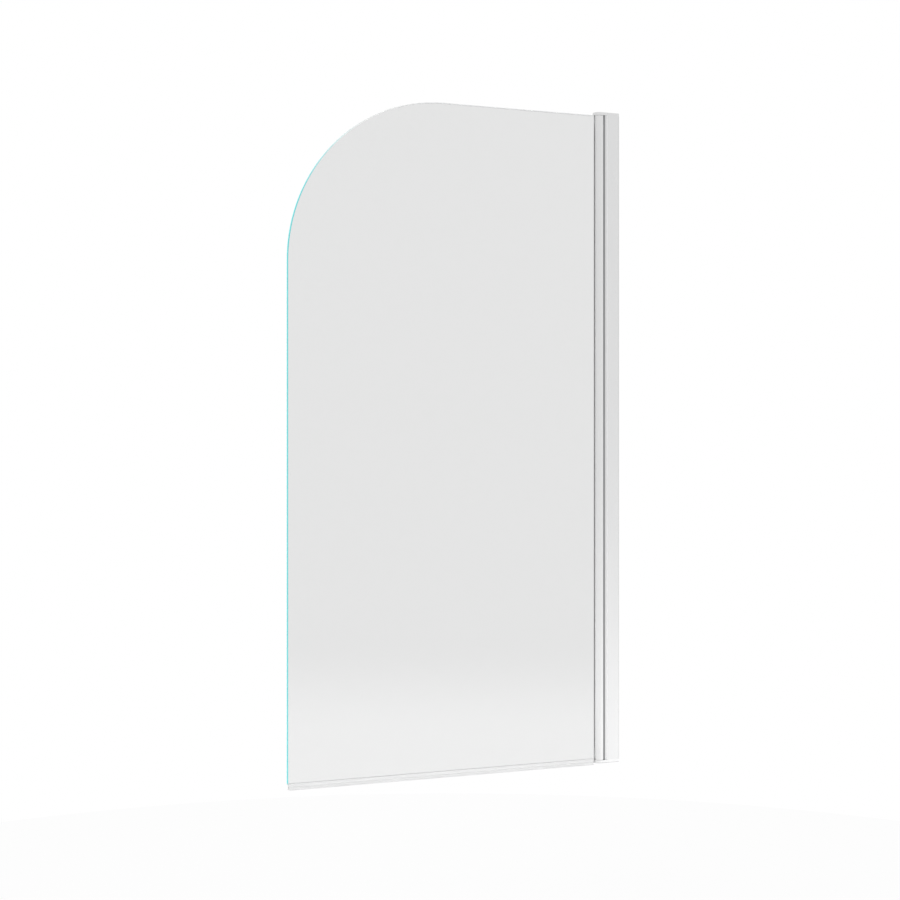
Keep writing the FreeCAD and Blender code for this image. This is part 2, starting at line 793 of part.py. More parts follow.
def make_pivot_plug(label, flipped):
    """Moulded plug that fills the end of the tube's pocket and carries the pin."""
    body = new_body(label, height=tube_end, flipped=flipped)
    half = pocket_half - dim.plug_clearance
    start = pocket_start - dim.plug_clearance
    floor = pocket_floor - dim.plug_clearance
    plan = new_sketch(body, "XY_Plane", "plug_plan")
    draw_loop(plan, box_corners(-start, floor, -half, half))
    block = pad(body, plan, dim.plug_length, downward=True)

    def lower_rim(edge):
        return near(edge.BoundBox.ZMax, -dim.plug_length)

    soften(body, block, edges_where(block, lower_rim), dim.plug_chamfer, bevel=True)
    bore = new_sketch(body, "XY_Plane", "pin_bore")
    draw_circle(bore, ZERO, ZERO, dim.pin_radius + dim.pin_running_clearance)
    pocket(body, bore)
    return body


def make_thrust_washer(label, flipped):
    """Thin low-friction ring between the end of the tube and the cap."""
    body = new_body(label, height=tube_end, flipped=flipped)
    plan = new_sketch(body, "XY_Plane", "washer_plan")
    draw_circle(plan, ZERO, ZERO, dim.tube_radius - dim.washer_inset)
    draw_circle(plan, ZERO, ZERO, dim.pin_radius + dim.pin_running_clearance)
    pad(body, plan, dim.washer_thickness)
    return body


def make_bottom_seal():
    """Clear strip pushed onto the lower edge of the glass, with two fins that end in beads."""
    body = new_body("bottom_seal", height=-glass_end)
    start = -(free_edge - dim.sweep_from_free_edge)
    length = free_edge - dim.sweep_from_free_edge - clear_of_nose
    face = dim.glass_thickness / 2
    outside = face + dim.sweep_leg
    clip = new_sketch(body, "YZ_Plane", "clip_section", offset=start)
    draw_loop(clip, [
        (-outside, -dim.sweep_web), (outside, -dim.sweep_web), (outside, dim.sweep_grip),
        (face, dim.sweep_grip), (face, ZERO), (-face, ZERO),
        (-face, dim.sweep_grip), (-outside, dim.sweep_grip),
    ])
    pad(body, clip, length)

    root, tip, fin = dim.sweep_fin_root, dim.sweep_fin_tip, dim.sweep_fin / 2
    bead_z = -(dim.sweep_web + dim.sweep_drop)
    root_z = -(dim.sweep_web / 2)
    fins = new_sketch(body, "YZ_Plane", "fin_section", offset=start)
    for side in (-1, 1):
        near_y, far_y = (root - fin) * side, (root + fin) * side
        draw_loop(fins, [
            (near_y, root_z), (tip * side - fin * side, bead_z),
            (tip * side + fin * side, bead_z), (far_y, root_z),
        ])
    pad(body, fins, length)

    beads = new_sketch(body, "YZ_Plane", "bead_section", offset=start)
    for side in (-1, 1):
        draw_circle(beads, tip * side, bead_z, dim.sweep_bead_radius)
    pad(body, beads, length)
    return body


pieces = [make_wall_channel(), make_hinge_post(), make_pivot_tube(), make_glass_panel(),
          make_glazing_gasket(), make_bottom_seal(), make_adjusting_screws(),
          make_adjusting_cups(), make_screw_covers()]
for end, turned in (("top", False), ("bottom", True)):
    pieces += [
        make_wall_cap(f"wall_cap_{end}", turned),
        make_hinge_cap(f"hinge_cap_{end}", turned),
        make_pivot_pin(f"pivot_pin_{end}", turned),
        make_cap_screws(f"cap_screws_{end}", turned),
        make_pivot_plug(f"pivot_plug_{end}", turned),
        make_thrust_washer(f"thrust_washer_{end}", turned),
    ]
for side, turned in (("front", False), ("rear", True)):
    pieces.append(make_cove_seal(f"cove_seal_{side}", turned))

# --------------------------------------------------------------------------
# Checks and export
# --------------------------------------------------------------------------
doc.recompute()
for item in doc.Objects:
    if "Invalid" in item.State or "Error" in item.State:
        raise RuntimeError(f"{item.Label} did not rebuild: {item.State}")
for piece in pieces:
    if piece.Shape.isNull() or not piece.Shape.isValid():
        raise RuntimeError(f"{piece.Label} has no sound shape")

os.makedirs("parts", exist_ok=True)
for piece in pieces:
    piece.Shape.exportStep(f"parts/{piece.Label}.step")
    box = piece.Shape.optimalBoundingBox(True, False)
    print(f"{piece.Label}: {len(piece.Shape.Solids)} solid(s), {piece.Shape.Volume:.0f} mm3, "
          f"X {box.XMin:.2f}..{box.XMax:.2f} Y {box.YMin:.2f}..{box.YMax:.2f} "
          f"Z {box.ZMin:.2f}..{box.ZMax:.2f}")
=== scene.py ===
# %% [markdown]
# # A pivoting bath screen, dressed in Blender
#
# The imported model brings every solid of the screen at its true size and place. This lesson gives those
# solids their finishes, and builds anew the pieces that a shaped mesh shows better: the glass with its
# round-ground edge, the hinge tube, the rubber seals, the clear drip strip and the cross-head screws.
#
# The screen keeps one frame from start to end, in metres. X = 0 is the wall and the glass reaches out
# along -X, the bathroom is on the -Y side, and Z = 0 is halfway up the wall channel.

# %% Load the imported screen
import json
import math

import bmesh
import bpy
from mathutils import Matrix, Vector
from mathutils.geometry import tessellate_polygon


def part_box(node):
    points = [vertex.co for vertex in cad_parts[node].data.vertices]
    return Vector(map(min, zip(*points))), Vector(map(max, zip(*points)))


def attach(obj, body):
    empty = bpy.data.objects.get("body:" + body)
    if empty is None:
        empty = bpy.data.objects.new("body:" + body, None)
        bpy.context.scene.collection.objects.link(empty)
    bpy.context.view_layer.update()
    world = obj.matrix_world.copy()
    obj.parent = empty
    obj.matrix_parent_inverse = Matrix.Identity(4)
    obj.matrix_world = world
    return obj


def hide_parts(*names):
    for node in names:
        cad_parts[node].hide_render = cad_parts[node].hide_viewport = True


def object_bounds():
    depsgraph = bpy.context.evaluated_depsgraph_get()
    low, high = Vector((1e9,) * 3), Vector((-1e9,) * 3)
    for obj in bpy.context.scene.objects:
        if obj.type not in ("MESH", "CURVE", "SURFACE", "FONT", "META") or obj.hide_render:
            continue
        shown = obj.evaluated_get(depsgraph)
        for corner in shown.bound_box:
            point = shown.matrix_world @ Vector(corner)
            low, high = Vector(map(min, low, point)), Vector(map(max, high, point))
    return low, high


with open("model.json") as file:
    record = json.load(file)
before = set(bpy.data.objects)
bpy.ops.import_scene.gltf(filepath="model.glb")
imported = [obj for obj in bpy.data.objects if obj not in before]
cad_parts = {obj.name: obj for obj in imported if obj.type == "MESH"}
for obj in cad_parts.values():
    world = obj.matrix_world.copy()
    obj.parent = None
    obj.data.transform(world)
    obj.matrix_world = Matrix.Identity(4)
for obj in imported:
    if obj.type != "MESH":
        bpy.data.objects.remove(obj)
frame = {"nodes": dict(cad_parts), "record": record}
cad_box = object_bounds()
nodes = frame["nodes"]

# %% [markdown]
# ## The camera
#
# The photograph was taken level, from the free side of the glass. Upright edges stay upright in it, so
# the camera isn't tilted, and a small shift frames the picture instead. Its place, heading and lens come
# from lining up the corners and edges of the screen with the picture.

# %% Place the camera
HEADING = 0.41549
camera_data = bpy.data.cameras.new("camera")
camera_data.lens = 71.037
camera_data.sensor_width = 36.0
camera_data.shift_x = -0.00014
camera_data.shift_y = -0.0159
camera = bpy.data.objects.new("camera", camera_data)
camera.location = (-1.8819, -3.3734, 0.0042)
camera.rotation_euler = (math.radians(90), 0, -HEADING)
bpy.context.scene.collection.objects.link(camera)
bpy.context.scene.camera = camera
bpy.context.scene.view_settings.view_transform = "Standard"
print("camera heading:", round(math.degrees(HEADING), 2), "degrees right of +Y")

# %% [markdown]
# ## Writing shaders as sums
#
# A finish is a small network of nodes. Wiring each node by hand hides the idea behind it, so one class
# wraps the output of a node and lets plain arithmetic add the Math nodes. Everything else, such as a
# noise or a bump, comes from one method that sets a node up and fills in its sockets.

# %% Values that can be added and multiplied
class Wire:
    """The output of a node; arithmetic on it adds Math nodes."""

    def __init__(self, recipe, socket):
        self.recipe = recipe
        self.socket = socket

    def maths(self, operation, first, second):
        return self.recipe.node("ShaderNodeMath", {"operation": operation}, {0: first, 1: second})

    def __add__(self, other):
        return self.maths("ADD", self, other)

    def __sub__(self, other):
        return self.maths("SUBTRACT", self, other)

    def __rsub__(self, other):
        return self.maths("SUBTRACT", other, self)

    def __mul__(self, other):
        return self.maths("MULTIPLY", self, other)

    def __lt__(self, other):
        return self.maths("LESS_THAN", self, other)

    __radd__ = __add__
    __rmul__ = __mul__


# %% [markdown]
# The recipe holds the nodes of one material, or of the world. What the finishes ask for most, such as
# where a point lies or a soft step between two values, is one line in it.

# %% A recipe of nodes
class Recipe:
    """The nodes behind one material, or behind the world."""

    def __init__(self, owner):
        owner.use_nodes = True
        self.owner = owner
        self.tree = owner.node_tree
        self.tree.nodes.clear()

    def node(self, kind, settings=None, sockets=None, output=0):
        """Add a node, set it up, fill in its sockets, and give one of its outputs."""
        made = self.tree.nodes.new(kind)
        for name, value in (settings or {}).items():
            setattr(made, name, value)
        for name, value in (sockets or {}).items():
            self.fill(self.find(made.inputs, name), value)
        return Wire(self, self.find(made.outputs, output)) if made.outputs else None

    def find(self, sockets, name):
        """A socket by its identifier, as a Mix node needs it, or else by its name or number."""
        exact = [socket for socket in sockets if socket.identifier == name]
        return exact[0] if exact else sockets[name]

    def fill(self, socket, value):
        if isinstance(value, Wire):
            self.tree.links.new(value.socket, socket)
        elif socket.type == "RGBA":
            socket.default_value = (*value, 1.0)
        else:
            socket.default_value = value

    def mix_colour(self, amount, first, second):
        return self.node(
            "ShaderNodeMix", {"data_type": "RGBA"},
            {"Factor_Float": amount, "A_Color": first, "B_Color": second}, "Result_Color")

    def ray(self, output):
        """What Light Path says of a ray: 1 or 0 for its kind, or a count such as Glossy Depth."""
        return self.node("ShaderNodeLightPath", output=output)

    def place(self):
        """The place on the piece, in the frame's metres."""
        return self.node("ShaderNodeTexCoord", output="Object")

    def axes(self, place):
        """The X, Y and Z of a place, as three values."""
        first = self.node("ShaderNodeSeparateXYZ", None, {0: place})
        return [Wire(self, output) for output in first.socket.node.outputs]

    def between(self, value, start, end):
        """0 before the start, 1 after the end, and a soft step between them."""
        return self.node(
            "ShaderNodeMapRange", {"interpolation_type": "SMOOTHSTEP"},
            {"Value": value, "From Min": start, "From Max": end, "To Min": 0.0, "To Max": 1.0})


# %% [markdown]
# ## The studio
#
# The picture has a pure white ground, and the polished parts mirror a pale room with a brighter strip of
# lit floor below. So the world has three answers. What the camera sees directly, or straight through the
# glass, is white. What a polished surface mirrors is the pale room, a little lighter towards the wall, and
# its bright strip. All other rays get a plain soft light, the same from all sides, so the renderer needn't
# look for bright places in it.
#
# The levels are strengths, where 1 is white. The places where the strip and the glow start and end are
# parts of a direction of length 1: up for the strip, and towards the wall for the glow.

# %% The world
world = bpy.data.worlds.new("studio")
bpy.context.scene.world = world
world.cycles.sampling_method = "NONE"
sky = Recipe(world)

AMBIENT = 0.62
ROOM_LEVEL, ROOM_SLOPE = 0.985, 0.02
WALL_GLOW, GLOW_START, GLOW_END = 0.13, 0.62, 0.95
STRIP_LEVEL, STRIP_SLOPE = 0.86, 0.04
STRIP_START, STRIP_END = (-0.115, -0.165), (-0.21, -0.26)

towards_wall, _, upwards = sky.axes(sky.node("ShaderNodeTexCoord", output="Generated"))
strip = sky.between(upwards, *STRIP_START) * (1 - sky.between(upwards, *STRIP_END))
glow = sky.between(towards_wall, GLOW_START, GLOW_END) * WALL_GLOW
mirror_room = ROOM_LEVEL + towards_wall * ROOM_SLOPE + glow
mirror_strip = strip * (STRIP_LEVEL + towards_wall * STRIP_SLOPE)
straight_through = sky.ray("Is Transmission Ray") * (sky.ray("Glossy Depth") < 0.5)
soft = sky.ray("Is Diffuse Ray")
white = sky.ray("Is Camera Ray") + straight_through * (1 - soft)
mirrored = 1 - white - soft
strength = white + soft * AMBIENT + mirrored * (mirror_room + mirror_strip)
background = sky.node("ShaderNodeBackground", None, {"Color": (1, 1, 1), "Strength": strength})
sky.node("ShaderNodeOutputWorld", None, {"Surface": background})
print(world.name, len(sky.tree.nodes), "nodes")

# %% [markdown]
# ## The lamps and the floor
#
# Two broad lamps stand high, one on each side of the screen, so that no hard shadow falls, and a third
# stands low in front, like light that comes back from a pale bathroom floor. The screen hangs on a wall
# above a bath, so the floor lies one bath's height below it. It is pale and keeps the soft shadow.

# %% Soft lamps
def soft_lamp(name, place, aim, size, power):
    """A round lamp of this size that mirrors and the glass don't show."""
    data = bpy.data.lights.new(name, "AREA")
    data.shape = "DISK"
    data.size = size
    data.energy = power
    lamp = bpy.data.objects.new(name, data)
    lamp.location = place
    lamp.rotation_euler = (Vector(aim) - Vector(place)).to_track_quat("-Z", "Y").to_euler()
    lamp.visible_glossy = False
    lamp.visible_transmission = False
    bpy.context.scene.collection.objects.link(lamp)
    print(name, power, "W")


soft_lamp("key_lamp", (-2.4, -2.2, 3.4), (0, 0, 0), 2.4, 60.0)
soft_lamp("back_lamp", (0.9, 2.4, 3.4), (0, 0, 0), 2.4, 50.0)
soft_lamp("low_lamp", (-0.35, -1.4, -1.2), (-0.3, 0, -0.65), 0.8, 15.0)

# %% [markdown]
# The floor is a plain disc. Its paint is matt white, but rays from the camera, from mirrors and through the
# glass meet mostly an even white light in it. So the ground stays nearly white, with a faint shadow.

# %% The floor
BATH_HEIGHT = 0.56
FLOOR_RADIUS = 2.6
FLOOR_LIFT = 0.92
floor_material = bpy.data.materials.new("pale_floor")
ground = Recipe(floor_material)
matt = ground.node("ShaderNodeBsdfDiffuse", None, {"Color": (0.9, 0.9, 0.9)})
lift = ground.node("ShaderNodeEmission", None, {"Color": (1, 1, 1), "Strength": 1.0})
watched = ground.ray("Is Camera Ray") + ground.ray("Is Glossy Ray") + ground.ray("Is Transmission Ray")
paint = ground.node("ShaderNodeMixShader", None, {0: watched * FLOOR_LIFT, 1: matt, 2: lift})
ground.node("ShaderNodeOutputMaterial", None, {"Surface": paint})

floor_mesh = bpy.data.meshes.new("floor")
disc = bmesh.new()
bmesh.ops.create_circle(disc, cap_ends=True, radius=FLOOR_RADIUS, segments=96)
disc.to_mesh(floor_mesh)
disc.free()
floor = bpy.data.objects.new("floor", floor_mesh)
floor.location = (cad_box[0][0] / 2, 0.0, cad_box[0][2] - BATH_HEIGHT)
floor_mesh.materials.append(floor_material)
bpy.context.scene.collection.objects.link(floor)
print("floor at", round(floor.location.z, 3), "m")

# %% [markdown]
# ## Where things are
#
# The places of the rebuilt pieces, and of the marks in their finishes, come from the solids. The tube's
# washer lies round the line that the screen turns on, so its middle gives that line. Sizes of sections
# are in millimetres.

# %% Places from the frame
MM = 0.001
washer_low, washer_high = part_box("thrust_washer_top")
tube_low, tube_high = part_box("pivot_tube")
pane_low, pane_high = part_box("glass_panel")
strip_low, strip_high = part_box("bottom_seal")
channel_low, channel_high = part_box("wall_channel")
AXIS_X = (washer_low[0] + washer_high[0]) / 2
TUBE_RADIUS = (tube_high[0] - AXIS_X) / MM
TUBE_MOUTH = (AXIS_X - tube_low[0]) / MM
TUBE_ENDS = (tube_low[2], tube_high[2])
PANE_HALF = pane_high[1] / MM
print("pivot axis at", round(AXIS_X / MM, 2), "mm, tube radius", round(TUBE_RADIUS, 2), "mm")

# %% [markdown]
# ## Finishes
#
# Each finish starts empty and ends in one Principled shader. Most of them need the same thing in between:
# a fine grain that is stretched in one direction, as a die, a mould or a lathe leaves it. The grain works
# in the frame's own metres, so a stretch of 1500 gives marks of about 0.7 mm. A mark that is there twice,
# the same way on both sides of a middle, is found by one soft step on the square of the place.

# %% Helpers for finishes
finishes = {}


def new_finish(name):
    """Add an empty finish under its name, and give the recipe of its nodes."""
    finishes[name] = bpy.data.materials.new(name)
    return Recipe(finishes[name])


def close_finish(recipe, sockets):
    """End a recipe in one shader, with these sockets filled in."""
    shader = recipe.node("ShaderNodeBsdfPrincipled", None, sockets)
    recipe.node("ShaderNodeOutputMaterial", None, {"Surface": shader})
    print(recipe.owner.name, len(recipe.tree.nodes), "nodes")


def grain(recipe, stretch, detail=3.0):
    """Noise from 0 to 1, with this many marks per metre along X, Y and Z."""
    marks = recipe.node("ShaderNodeVectorMath", {"operation": "MULTIPLY"}, {0: recipe.place(), 1: stretch})
    return recipe.node("ShaderNodeTexNoise", None, {"Vector": marks, "Scale": 1.0, "Detail": detail})


def relief(recipe, height, depth, strength):
    """Bumps of this depth, in metres, where the height goes from 0 to 1."""
    return recipe.node("ShaderNodeBump", None, {"Height": height, "Distance": depth, "Strength": strength})


# %% [markdown]
# ### Bright aluminium
#
# The channel, the post and the tube are extrusions, polished and then anodised. The die leaves faint lines
# along their length, and the anodic film makes the mirror a little soft. The lips at the mouth of the
# channel, and the post right beside them, get a painted highlight over the shade where the post goes in.
# Along the wall, painted shade darkens the last millimetre of the channel, like the dark mirror image in
# its round corner.

# %% Bright aluminium
POLISHED = ((0.690, 0.692, 0.695), (0.712, 0.712, 0.712))


def bright_aluminium():
    recipe = new_finish("bright_aluminium")
    die_lines = grain(recipe, (2200, 2200, 3))
    film = grain(recipe, (60, 60, 12), 1.0)
    from_wall, _, _ = recipe.axes(recipe.place())
    mouth, wall = channel_low[0], channel_high[0]
    # Painted highlight over the shade at the mouth of the channel, where the post goes in.
    painted_mouth_light = (recipe.between(from_wall, mouth - 1.1 * MM, mouth - 0.7 * MM)
              * recipe.between(from_wall, mouth + 1.2 * MM, mouth + 0.7 * MM))
    # Painted shade in the last millimetre of the channel, along the wall.
    painted_wall_shade = recipe.between(from_wall, wall - 1.5 * MM, wall - 1.0 * MM)
    polish_with_mouth_light = recipe.mix_colour(painted_mouth_light, recipe.mix_colour(film, *POLISHED), (0.86, 0.86, 0.86))
    close_finish(recipe, {
        "Base Color": recipe.mix_colour(painted_wall_shade, polish_with_mouth_light, (0.45, 0.45, 0.45)),
        "Metallic": 1.0,
        "Roughness": 0.23 + die_lines * 0.05,
        "Normal": relief(recipe, die_lines, 0.000004, 0.6)})


bright_aluminium()

# %% [markdown]
# ### Chromed caps
#
# The end covers are plastic mouldings with bright chrome on them. Plating keeps the skin of the moulding,
# so under a lamp it shows a fine orange peel, and it is a sharper mirror than the anodised metal. The
# last millimetre and a half at each end of the caps is lighter and a sharper mirror still.

# %% Chromed caps
def chromed_cap():
    recipe = new_finish("chromed_cap")
    peel = grain(recipe, (420, 420, 420), 2.0)
    wiped = grain(recipe, (70, 70, 70), 2.0)
    _, _, height = recipe.axes(recipe.place())
    end = cad_box[1][2]
    # Lighter and a sharper mirror within 1.5 mm of the top and the foot of the screen.
    lighter_ends = recipe.between(height * height, (end - 1.5 * MM) ** 2, (end - 0.2 * MM) ** 2)
    close_finish(recipe, {
        "Base Color": recipe.mix_colour(lighter_ends, recipe.mix_colour(wiped, *POLISHED), (0.75, 0.75, 0.75)),
        "Metallic": 1.0,
        "Roughness": 0.19 + wiped * 0.06 - lighter_ends * 0.04,
        "Normal": relief(recipe, peel, 0.00001, 0.5)})


chromed_cap()

# %% [markdown]
# ### Stainless steel
#
# Screws and pins come off a lathe or a header. Their steel is greyer than aluminium, with rings so fine
# that they only soften the mirror.

# %% Stainless steel
def stainless_steel():
    recipe = new_finish("stainless_steel")
    rings = grain(recipe, (400, 400, 5000))
    close_finish(recipe, {
        "Base Color": recipe.mix_colour(rings, (0.50, 0.50, 0.51), (0.60, 0.60, 0.60)),
        "Metallic": 1.0,
        "Roughness": 0.26 + rings * 0.12,
        "Normal": relief(recipe, rings, 0.00001, 0.5)})


stainless_steel()

# %% [markdown]
# ### White nylon
#
# Plugs, washers and cups are moulded in bearing plastic. It is a warm white, and a fine spark-eroded
# texture of the mould keeps it from shining.

# %% White nylon
def white_nylon():
    recipe = new_finish("white_nylon")
    texture = grain(recipe, (1800, 1800, 1800), 2.0)
    flow = grain(recipe, (90, 90, 40), 2.0)
    close_finish(recipe, {
        "Base Color": recipe.mix_colour(flow, (0.88, 0.88, 0.86), (0.92, 0.92, 0.91)),
        "Roughness": 0.38 + texture * 0.14,
        "Normal": relief(recipe, texture, 0.00002, 0.5)})


white_nylon()

# %% [markdown]
# ### Grey rubber
#
# The gasket round the glass and the two seals of the post show as thin grey lines in the picture. Both
# are the same kind of rubber, but the gasket is painted much paler, as painted light over the shade in the
# mouth of the tube. Rubber like this gets a faint bloom in use, and the die leaves fine ribs along it.

# %% Grey rubber
def soft_rubber(name, deep, bloomed):
    recipe = new_finish(name)
    ribs = grain(recipe, (2600, 2600, 6))
    bloom = grain(recipe, (120, 120, 25))
    close_finish(recipe, {
        "Base Color": recipe.mix_colour(bloom, deep, bloomed),
        "Roughness": 0.50 + ribs * 0.15,
        "Normal": relief(recipe, ribs, 0.00002, 0.6)})


# The first grey, the gasket's, is painted paler as painted light over the shade it lies in. The second is
# the seals' own grey.
soft_rubber("dark_rubber", (0.65, 0.653, 0.656), (0.69, 0.692, 0.694))
soft_rubber("grey_rubber", (0.255, 0.258, 0.262), (0.275, 0.277, 0.280))

# %% [markdown]
# ### Clear glass and its edge
#
# The pane is clear float glass, and its body takes away a little of the light that goes through it.
# Toughening leaves waves too faint to see, except in a mirror image. Along the free side, the round-ground
# edge gathers light from the whole pane. That light is painted on as a glow of its own, in the colour of
# thick glass, a clear blue-green that is deepest on its flanks. Along the top and the foot of the pane that
# light doesn't reach the eye, so no glow is painted there, and the edge stays a pale grey.

# %% Clear glass and its edge
def safety_glass():
    recipe = new_finish("safety_glass")
    waves = grain(recipe, (2, 2, 9), 1.0)
    close_finish(recipe, {
        "Base Color": recipe.mix_colour(waves, (0.766, 0.768, 0.767), (0.772, 0.773, 0.773)),
        "Roughness": 0.0,
        "Transmission Weight": 1.0,
        "IOR": 1.58,
        "Normal": relief(recipe, waves, 0.00002, 0.3)})


safety_glass()


def ground_edge():
    recipe = new_finish("ground_edge")
    wheel_marks = grain(recipe, (900, 3000, 900))
    along, across, height = recipe.axes(recipe.place())
    free, _, foot = pane_low
    free_side = (recipe.between(along, free + 170 * MM, free + 10 * MM)
                 * recipe.between(height, foot + 0.15 * MM, foot + 6.15 * MM))
    flank = recipe.between(across * across, (0.9 * MM) ** 2, (1.9 * MM) ** 2)
    # Painted glow for the free edge: a bright blue-green, painted deeper on the flanks.
    glow = recipe.mix_colour(flank, (0.30, 1.0, 1.0), (0.09, 0.48, 0.50))
    close_finish(recipe, {
        "Base Color": recipe.mix_colour(free_side, (0.95, 0.96, 0.96), glow),
        "Roughness": 0.15 + wheel_marks * 0.1,
        "Transmission Weight": 0.3,
        "IOR": 1.5,
        "Emission Color": recipe.mix_colour(free_side, (0.0, 0.0, 0.0), glow),
        "Emission Strength": 0.22,
        "Normal": relief(recipe, wheel_marks, 0.00001, 0.3)})


ground_edge()

# %% [markdown]
# ### Clear drip strip
#
# The strip under the glass is soft clear plastic. Its skin isn't quite smooth, so it looks milky. The
# legs beside the glass are thicker and greyer than the fins, and the beads at the ends of the fins are
# darker still. Light comes in from the glass, wanders about inside such plastic and comes out all over.
# A little light of its own stands for that, and it is strongest beside the glass.

# %% Clear drip strip
def clear_strip():
    recipe = new_finish("clear_strip")
    ribs = grain(recipe, (8, 1500, 1500))
    haze = grain(recipe, (30, 60, 60), 2.0)
    _, across, height = recipe.axes(recipe.place())
    foot, tips = pane_low[2], strip_low[2]
    legs = recipe.between(height, foot - 1.35 * MM, foot + 0.65 * MM)
    beside_glass = legs * recipe.between(across * across, (3.4 * MM) ** 2, (2.9 * MM) ** 2)
    # The last millimetre or so at the ends of the fins is darker.
    darker_beads = recipe.between(height, tips + 1.05 * MM, tips + 0.45 * MM)
    fins = recipe.mix_colour(haze, (0.79, 0.795, 0.795), (0.82, 0.82, 0.82))
    clean = recipe.mix_colour(legs, fins, (0.73, 0.73, 0.73))
    close_finish(recipe, {
        "Base Color": recipe.mix_colour(darker_beads, clean, (0.62, 0.62, 0.62)),
        "Roughness": 0.32 + haze * 0.1,
        "Transmission Weight": 0.3,
        "IOR": 1.3,
        "Emission Color": recipe.mix_colour(beside_glass, (0.2, 0.2, 0.2), (1.0, 1.0, 1.0)),
        "Emission Strength": 0.3,
        "Normal": relief(recipe, ribs, 0.00001, 0.3)})


clear_strip()

# %% [markdown]
# ### From finishes to solids
#
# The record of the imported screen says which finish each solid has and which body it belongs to. Every
# solid gets its finish here, also the ones that a rebuilt piece hides later.

# %% Put the finishes on the solids
slot_of = {part["node"]: part["material_slot"] for part in frame["record"]["subparts"]}
body_of = {node: body for body, members in frame["record"]["behaviour"]["bodies"].items()
           for node in members}
for name, node in nodes.items():
    node.data.materials[0] = finishes[slot_of[name]]
print("finishes on solids:", len({slot_of[name] for name in nodes}))

# %% [markdown]
# ## Making strips
#
# Most pieces of the screen are strips: one section, the same from end to end. A section is drawn as a
# closed outline in millimetres, with small rounds where a die or a mould leaves them, and perhaps some
# hollows. Nothing soft quite touches the glass: two faces in one place would show as a black line, so a
# gap of 0.05 mm, too small to see, keeps them apart.

# %% Outlines
EASE_STEPS = 4
SOFT_GAP = 0.05


def arc(centre, radius, start, end, steps):
    """Points round a centre, from one angle to another, in degrees."""
    points = []
    for step in range(steps + 1):
        angle = math.radians(start + (end - start) * step / steps)
        points.append((centre[0] + radius * math.cos(angle), centre[1] + radius * math.sin(angle)))
    return points


def eased(corners):
    """Closed outline; a corner with a third number gets a round of that radius."""
    outline = []
    for index, corner in enumerate(corners):
        here = Vector(corner[:2])
        if len(corner) == 2:
            outline.append(tuple(here))
            continue
        back = (Vector(corners[index - 1][:2]) - here).normalized()
        ahead = (Vector(corners[(index + 1) % len(corners)][:2]) - here).normalized()
        half = back.angle(ahead) / 2
        centre = here + (back + ahead).normalized() * corner[2] / math.sin(half)
        spoke = here + back * corner[2] / math.tan(half) - centre
        turn = -spoke.angle_signed(here + ahead * corner[2] / math.tan(half) - centre)
        for step in range(EASE_STEPS + 1):
            outline.append(tuple(centre + Matrix.Rotation(turn * step / EASE_STEPS, 2) @ spoke))
    return outline


def flipped(outline):
    """The same outline on the other side of its second axis, drawn the other way round."""
    return [(first, -second, *rest) for first, second, *rest in reversed(outline)]


# %% [markdown]
# Two rings of points get a band of faces between them, and a flat end is filled with triangles. A second
# ring in an end is a hole in it. Most strips of the screen stand upright round the pivot axis, so one
# function puts the points of such a section in place.

# %% Bands, ends and strips
def add_band(shape, near_ring, far_ring):
    """Faces between two rings of points."""
    return [shape.faces.new((near_ring[index - 1], near, far_ring[index], far_ring[index - 1]))
            for index, near in enumerate(near_ring)]


def add_end(shape, rings, outlines):
    """Fill a flat end; the outlines hold the same points as pairs, the first one outside."""
    corners = [corner for ring in rings for corner in ring]
    for triangle in tessellate_polygon([[(a, b, 0) for a, b in outline] for outline in outlines]):
        shape.faces.new([corners[number] for number in triangle])


def add_strip(shape, outlines, ends, place):
    """Add a strip; place(a, b, along) puts a point of the section into the frame."""
    near_rings, far_rings = ([[shape.verts.new(place(a, b, along)) for a, b in outline]
                              for outline in outlines] for along in ends)
    for near_ring, far_ring in zip(near_rings, far_rings):
        add_band(shape, near_ring, far_ring)
    add_end(shape, near_rings, outlines)
    add_end(shape, far_rings, outlines)


def on_axis(a, b, along):
    """A section point, in millimetres from the pivot axis, at a height in metres."""
    return (AXIS_X + a * MM, b * MM, along)


# %% [markdown]
# A finished shape becomes a piece with a name and a finish. It rides on the body of the solid that it
# stands for, and that solid is hidden. The bands are shaded smooth and the flat ends aren't, or the light
# on a small round would spill over the flat beside it.

# %% Pieces
SHARP_ANGLE = 35


def make_piece(name, shape, stands_for, *edge_finishes):
    """Turn a shape into a named piece with the finish and the body of the solid that it stands for."""
    bmesh.ops.recalc_face_normals(shape, faces=shape.faces)
    for face in shape.faces:
        face.smooth = len(face.verts) > 3
    mesh = bpy.data.meshes.new(name)
    shape.to_mesh(mesh)
    shape.free()
    mesh.set_sharp_from_angle(angle=math.radians(SHARP_ANGLE))
    for finish in (slot_of[stands_for], *edge_finishes):
        mesh.materials.append(finishes[finish])
    piece = bpy.data.objects.new(name, mesh)
    bpy.context.scene.collection.objects.link(piece)
    piece.modifiers.new("even_normals", "WEIGHTED_NORMAL").keep_sharp = True
    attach(piece, body_of[stands_for])
    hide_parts(stands_for)
    print(name, len(mesh.polygons), "faces")


# %% [markdown]
# ## The glass
#
# The pane is a flat plate with a large round at its upper free corner. Its free edges are ground almost
# to a half round. Next to the hinge caps it steps back, and inside the tube it leaves room for the
# pivot plugs. Near the hinge those steps are drawn once for the top and flipped for the foot.

# %% The outline of the pane
CORNER_ROUND, FOOT_ROUND, EDGE_ROUND = 340 * MM, 5 * MM, 2.3 * MM
CLEAR_OF_NOSE = 14.2 * MM
NOTCH_IN_MOUTH, NOTCH_HEIGHT = 0.6 * MM, 23 * MM
CORNER_STEPS, FOOT_STEPS, RIM_STEPS = 72, 12, 6


